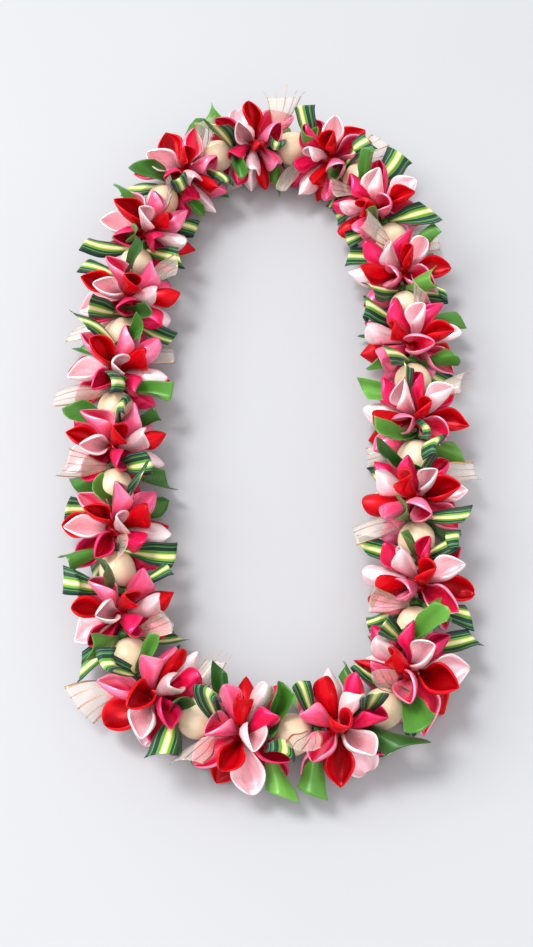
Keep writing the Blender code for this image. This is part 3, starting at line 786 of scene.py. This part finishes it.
def leafShell(stretch, side, index, angle, kind, attempt):
    # a strip from the knot outwards: it opens from a gathered U to a shallow arc, leans towards the
    # nut, twists, bows, and ends in a slanted cut or a point; a folded one turns back on itself
    endWidth, slant, ofReach, wall, creases, opens = leaf["ribbons"][kind]
    draw = random.Random(1000 * stretch + leaf["seeds"][0] + 10 * side + index)
    lean = draw.uniform(*leaf["leans"]) * mm
    sway = math.radians(draw.uniform(-leaf["sway"], leaf["sway"]))
    twist = math.radians(draw.choice((-1, 1)) * draw.uniform(*leaf["twists"]))
    reach = leaf["reach"] * draw.uniform(*leaf["lengths"])
    cut = leaf["cut"] * draw.choice((-1, 1)) * draw.uniform(*leaf["cuts"])

    angle = angle - math.radians(leaf["shift"])
    look = random.Random(leaf["seeds"][1] + 1000 * stretch + 100 * side + index + redraw * attempt)
    up = max(0.0, math.sin(angle)) ** 2
    cup, bow = look.choice((-1, 1)), look.uniform(-leaf["bow"], leaf["bow"]) * mm
    least, most = leaf["flicks"]
    flick = look.choice((-1, 1)) * look.uniform(least, most + leaf["flickUp"] * up) * mm
    pointed, folded = look.random() < leaf["pointedShare"], look.random() < leaf["foldedShare"]
    # on a green ribbon this tone is partly random tone and partly its painted light and shade
    tone = look.uniform(-1, 1)
    extraLean = (look.uniform(*leaf["extraLeans"]) + up * look.uniform(0, leaf["leanUp"])) * mm
    crease = look.uniform(*creases)
    openEnd = math.radians(look.uniform(*opens))
    wave, phase = look.uniform(*leaf["waves"]) * mm, look.uniform(0, math.tau)

    tucked = attempt / leaf["tries"]
    flick *= 1 + leaf["flickedMore"] * tucked
    lean = lean + extraLean * (leaf["leanShare"] - tucked)
    narrow = 1 - leaf["narrowed"] * tucked
    down = -math.sin(angle + sway)
    limit = (lei["cordHeight"] - leaf["lift"]) / down if down > 0 else 1.0
    free = reach <= limit  # it ends before it meets the table
    reach = min(reach * ofReach, limit)
    neck = leaf["neck"]
    grown = min(1.0, (reach - neck["distance"]) / (leaf["reach"] - neck["distance"]))
    inward = 1 if side == 0 else -1
    endWide = neck["width"] + (endWidth * mm - neck["width"]) * grown
    endLean, endTwist = (neck[name] + (1 - neck[name]) * grown for name in ("lean", "twist"))

    # distance from the cord: t runs out along the strip and v across it
    t, v = np.linspace(0, 1, leaf["rows"])[:, None], np.array(leaf["across"])[None, :]
    first = leaf["start"]
    if kind == "green" and pointed:
        tip = leaf["pointed"]
        corners = tip["corner"] * np.abs(v - tip["point"] * cup) ** tip["power"]
        ends = reach * (tip["length"] - corners)
    else:
        ends = reach + cut * grown * inward * v / 2 * slant
    distance = first + (ends - first) * t
    back = np.zeros_like(distance)
    if kind == "striped" and folded and free:
        run = first + (reach * leaf["folded"]["length"] + cut * v / 4 - first) * t
        distance, back = turnedBack(run, reach * leaf["folded"]["turn"])

    follow = lambda values: np.interp(np.clip(distance, 0, reach), [0, neck["distance"], reach], values)
    middle = distance.mean(1, keepdims=True)
    stations = [first, neck["distance"], reach * leaf["straight"], reach]
    widths = [neck["width"] / 2 * narrow, endWide / 2 * narrow, endWide / 2 * leaf["flare"]]
    halfWide = np.interp(middle, stations, [leaf["knotWidth"], *widths])
    gathered, necked = (math.radians(degrees) for degrees in leaf["gathers"])
    curl = np.interp(middle, [first, neck["distance"], reach], [gathered, necked, openEnd])
    spin = twist * follow([0, neck["twist"], endTwist])
    turn = angle + sway * follow([0, 0, 1]) + math.radians(leaf["shift"]) * follow(leaf["shifts"])
    along = leaf["knots"][side] + inward * lean * follow([0, neck["lean"], endLean])
    share = np.clip(distance / reach, 0, 1)
    bowed = bow * np.sin(math.pi * share) + flick * share**3 + back
    if not free:
        bowed = bowed * leaf["pressed"]
    bowed = bowed + wave * share * v * np.sin(share * leaf["waveCount"] + phase)

    radial = np.stack([0 * turn, np.cos(turn), np.sin(turn)], axis=-1)
    around = np.stack([0 * turn, -np.sin(turn), np.cos(turn)], axis=-1)
    strand, base = np.zeros_like(radial), np.zeros_like(radial)
    strand[..., 0] = 1
    base[..., 0] = stretch * pitch + along
    cos, sin = np.cos(spin)[..., None], np.sin(spin)[..., None]
    across, facing = strand * cos + around * sin, around * cos - strand * sin
    sunk = halfWide * leaf["sunk"] * np.sin(np.minimum(curl, leaf["sunkCurl"]))
    layers = []
    for sideways, height in foldSection(v[0], halfWide, curl, crease, 0.0, wall * mm):
        height = cup * (height - sunk) + bowed
        out = base + radial * distance[..., None]
        layers.append(out + across * sideways[..., None] + facing * height[..., None])
    uv = np.stack(np.broadcast_arrays((v + 1) / 2, t), axis=-1)
    lastRow = (leaf["rows"] - 1) * v.shape[1]
    return {
        "points": np.stack(layers).reshape(-1, 3),
        "faces": shellFaces(*distance.shape),
        "uv": np.tile(uv.reshape(-1, 2), (2, 1)),
        "tone": tone,
        "cut": np.tile(np.arange(distance.size) >= lastRow, 2),
        "ends": (layers[0][-1] + layers[1][-1]) / 2,
        "heading": (layers[0][-1] - layers[0][-2]).mean(0),
        "free": free,
    }


threads = {
    "places": (-0.98, -0.5, 0.0, 0.5, 0.98), "lengths": (5, 13), "radius": 0.18 * mm, "share": 0.4,
    "inside": -0.15, "apart": (0.0, 0.2), "droop": 1.2 * mm, "steps": 6, "sides": 4, "seed": 8000,
    "uv": (0.01, 0.5),  # a place on the ribbon that is all metal
}


def tubeShell(path):
    # a thin tube: a ring of points square to the path at each of its points, with pointed ends
    sides = threads["sides"]
    ahead = np.gradient(path, axis=0)
    ahead /= np.linalg.norm(ahead, axis=1, keepdims=True)
    first = np.cross(ahead, [0.31, 0.77, 0.55])
    first /= np.linalg.norm(first, axis=1, keepdims=True)
    second = np.cross(ahead, first)
    angle = np.linspace(0, math.tau, sides, endpoint=False)[None, :, None]
    ring = first[:, None, :] * np.cos(angle) + second[:, None, :] * np.sin(angle)
    taper = np.ones(len(path))
    taper[[0, -1]] = 0
    points = path[:, None, :] + ring * threads["radius"] * taper[:, None, None]
    grid = np.arange(len(path) * sides).reshape(len(path), sides)
    right = np.roll(grid, -1, 1)
    faces = np.stack([grid[:-1], right[:-1], right[1:], grid[1:]], axis=-1).reshape(-1, 4)
    return {"points": points.reshape(-1, 3), "faces": faces, "uv": np.tile([threads["uv"]], (grid.size, 1))}


def bareThreads(shell, stretch, side):
    # metal threads that outlast the gauze at a frayed end, spreading a little and drooping
    draw = random.Random(threads["seed"] + 10 * stretch + side)
    if not shell["free"] or draw.random() > threads["share"]:
        return []
    heading = shell["heading"] / np.linalg.norm(shell["heading"])
    steps = np.linspace(threads["inside"], 1, threads["steps"])[:, None]
    made = []
    for place in threads["places"]:
        at = np.array([np.interp(place, leaf["across"], shell["ends"][:, i]) for i in range(3)])
        length = draw.uniform(*threads["lengths"]) * mm
        wide = (shell["ends"][-1] - shell["ends"][0]) * place * draw.uniform(*threads["apart"])
        droop = np.array([0, 0, threads["droop"]])
        made.append(tubeShell(at + heading * length * steps + wide * steps**2 - droop * steps**2))
    return made


def knotShell(stretch, side):
    # the gathered knot: a bead with folds that run over it, and the cord's hole through it
    bulge = np.linspace(-1, 1, leaf["knotRows"])
    outside = [(leaf["knotHalf"] * b, leaf["knotRadius"] * (1 - leaf["knotRound"] * b * b)) for b in bulge]
    hole = [(leaf["knotHalf"] * b, leaf["hole"]) for b in (1, -1)]
    count, depth = leaf["knotPleats"]
    pleat = lambda angle, at: depth * np.sin(count * angle + at / mm)
    middle = stretch * pitch + leaf["knots"][side]
    return turnedShell(outside + hole, middle, leaf["knotAround"], pleat) | {"tone": leaf["paintedShadeTone"]}


def sleeveShell(stretch):
    # the ribbon's hidden run through the nut, from knot to knot
    low = leaf["knots"][0] + leaf["knotHalf"] + leaf["sleeveGap"]
    high = leaf["knots"][1] - leaf["knotHalf"] - leaf["sleeveGap"]
    profile = [(low, leaf["sleeve"]), (high, leaf["sleeve"]), (high, leaf["hole"]), (low, leaf["hole"])]
    return turnedShell(profile, stretch * pitch, leaf["sleeveAround"]) | {"tone": leaf["paintedShadeTone"]}


leafGrid = leaf["rows"], len(leaf["across"])
leafStart = 3  # the rows before this one are gathered at the knot, where the ends may meet
crossedLeaves = 0
for stretch in range(stretches):
    number = f"{stretch + 1:02d}"
    start = stretch * lei["turn"] + (lei["turn"] - cell / 2) / 2
    trees = petalTrees[stretch] + (petalTrees + [secondRound])[stretch + 1] + [nutTree(stretch)]
    bound = [knotShell(stretch, 0), knotShell(stretch, 1), sleeveShell(stretch)]
    tufts = {"green": bound, "striped": [], "sheer": []}
    for side in (0, 1):
        for index in range(lei["sides"]):
            kind = leaf["order"][(index + 2 * side) % lei["sides"]]
            crossed, shell, tree = leastCrossed(
                lambda attempt: leafShell(stretch, side, index, start + cell * index, kind, attempt),
                *leafGrid, leafStart, trees, leaf["tries"],
            )
            trees.append(tree)
            crossedLeaves += crossed > 0
            tufts[kind].append(shell)
            if kind == "sheer":
                tufts[kind] += bareThreads(shell, stretch, side)
    for kind, shells in tufts.items():
        node = f"leaves_{number}"
        makePiece(f"{node}_{kind}", shells, leafMaterials[kind], node)
leafCount = stretches * 2 * lei["sides"]
print("leaves made:", leafCount, "still crossing another piece:", crossedLeaves)

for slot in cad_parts["cord"].material_slots:
    slot.material = cordMaterial


# The table, the light and the camera
studio = {
    "table": linear(183, 184, 187), "tableSize": 40.0, "cloudShade": 0.985,
    "sky": (0.94, 0.955, 0.975, 1.0), "skyStrength": 0.88,
    "sun": {"place": (-0.6, 0.55, 1.5), "strength": 1.9, "spread": 18},
    # place, size in metres, power in watts, colour
    "lamps": {
        "sideLight": ((-1.3, 0.3, 1.4), 1.2, 18.0, (1, 1, 1)),
        "fillLight": ((0.5, -1.0, 1.4), 1.5, 5.0, (1.0, 0.97, 0.96)),
    },
    "look": (0.001, -0.050, 24 * mm), "elevation": 65.0, "distance": 0.859, "verticalView": 41.0,
}


def paleTable():
    finish = Finish("paleTable", Roughness=0.55, Specular_IOR_Level=0.25)
    cloud = finish.span(finish.noise(finish.place(), 3.0, 2.0), 0.3, 0.7)
    shaded = tuple(c * studio["cloudShade"] for c in studio["table"][:3]) + (1,)
    finish.give("Base Color", finish.mix(cloud, studio["table"], shaded))
    return finish.material


corners = np.array([(-1, -1, 0), (1, -1, 0), (1, 1, 0), (-1, 1, 0)]) * studio["tableSize"] / 2
tableMesh = bpy.data.meshes.new("table")
tableMesh.from_pydata(corners.tolist(), [], [(0, 1, 2, 3)])
tableMesh.materials.append(paleTable())
table = newObject("table", tableMesh)


def aimed(name, lamp, place):
    # a light that points at the middle of the table
    light = newObject(name, lamp)
    light.location = place
    light.rotation_euler = (-Vector(place)).to_track_quat("-Z", "Y").to_euler()


sun = bpy.data.lights.new("keyLight", "SUN")
sun.energy, sun.angle = studio["sun"]["strength"], math.radians(studio["sun"]["spread"])
aimed("keyLight", sun, studio["sun"]["place"])
for name, (place, size, power, colour) in studio["lamps"].items():
    lamp = bpy.data.lights.new(name, "AREA")
    lamp.shape, lamp.size, lamp.energy, lamp.color = "DISK", size, power, colour
    aimed(name, lamp, place)
world = bpy.data.worlds.new("paleRoom")
bpy.context.scene.world = world
world.use_nodes = True
background = world.node_tree.nodes["Background"]
background.inputs["Color"].default_value = studio["sky"]
background.inputs["Strength"].default_value = studio["skyStrength"]

look = Vector(studio["look"]) + Vector((*leiShift, 0))
rise = math.radians(studio["elevation"])
cameraData = bpy.data.cameras.new("camera")
cameraData.lens = cameraData.sensor_width / 2 / math.tan(math.radians(studio["verticalView"]) / 2)
camera = newObject("camera", cameraData)
camera.location = look + Vector((0, -math.cos(rise), math.sin(rise))) * studio["distance"]
camera.rotation_euler = (look - camera.location).to_track_quat("-Z", "Y").to_euler()
bpy.context.scene.camera = camera
bpy.context.scene.view_settings.view_transform = "Standard"
print("table, lights and camera set")
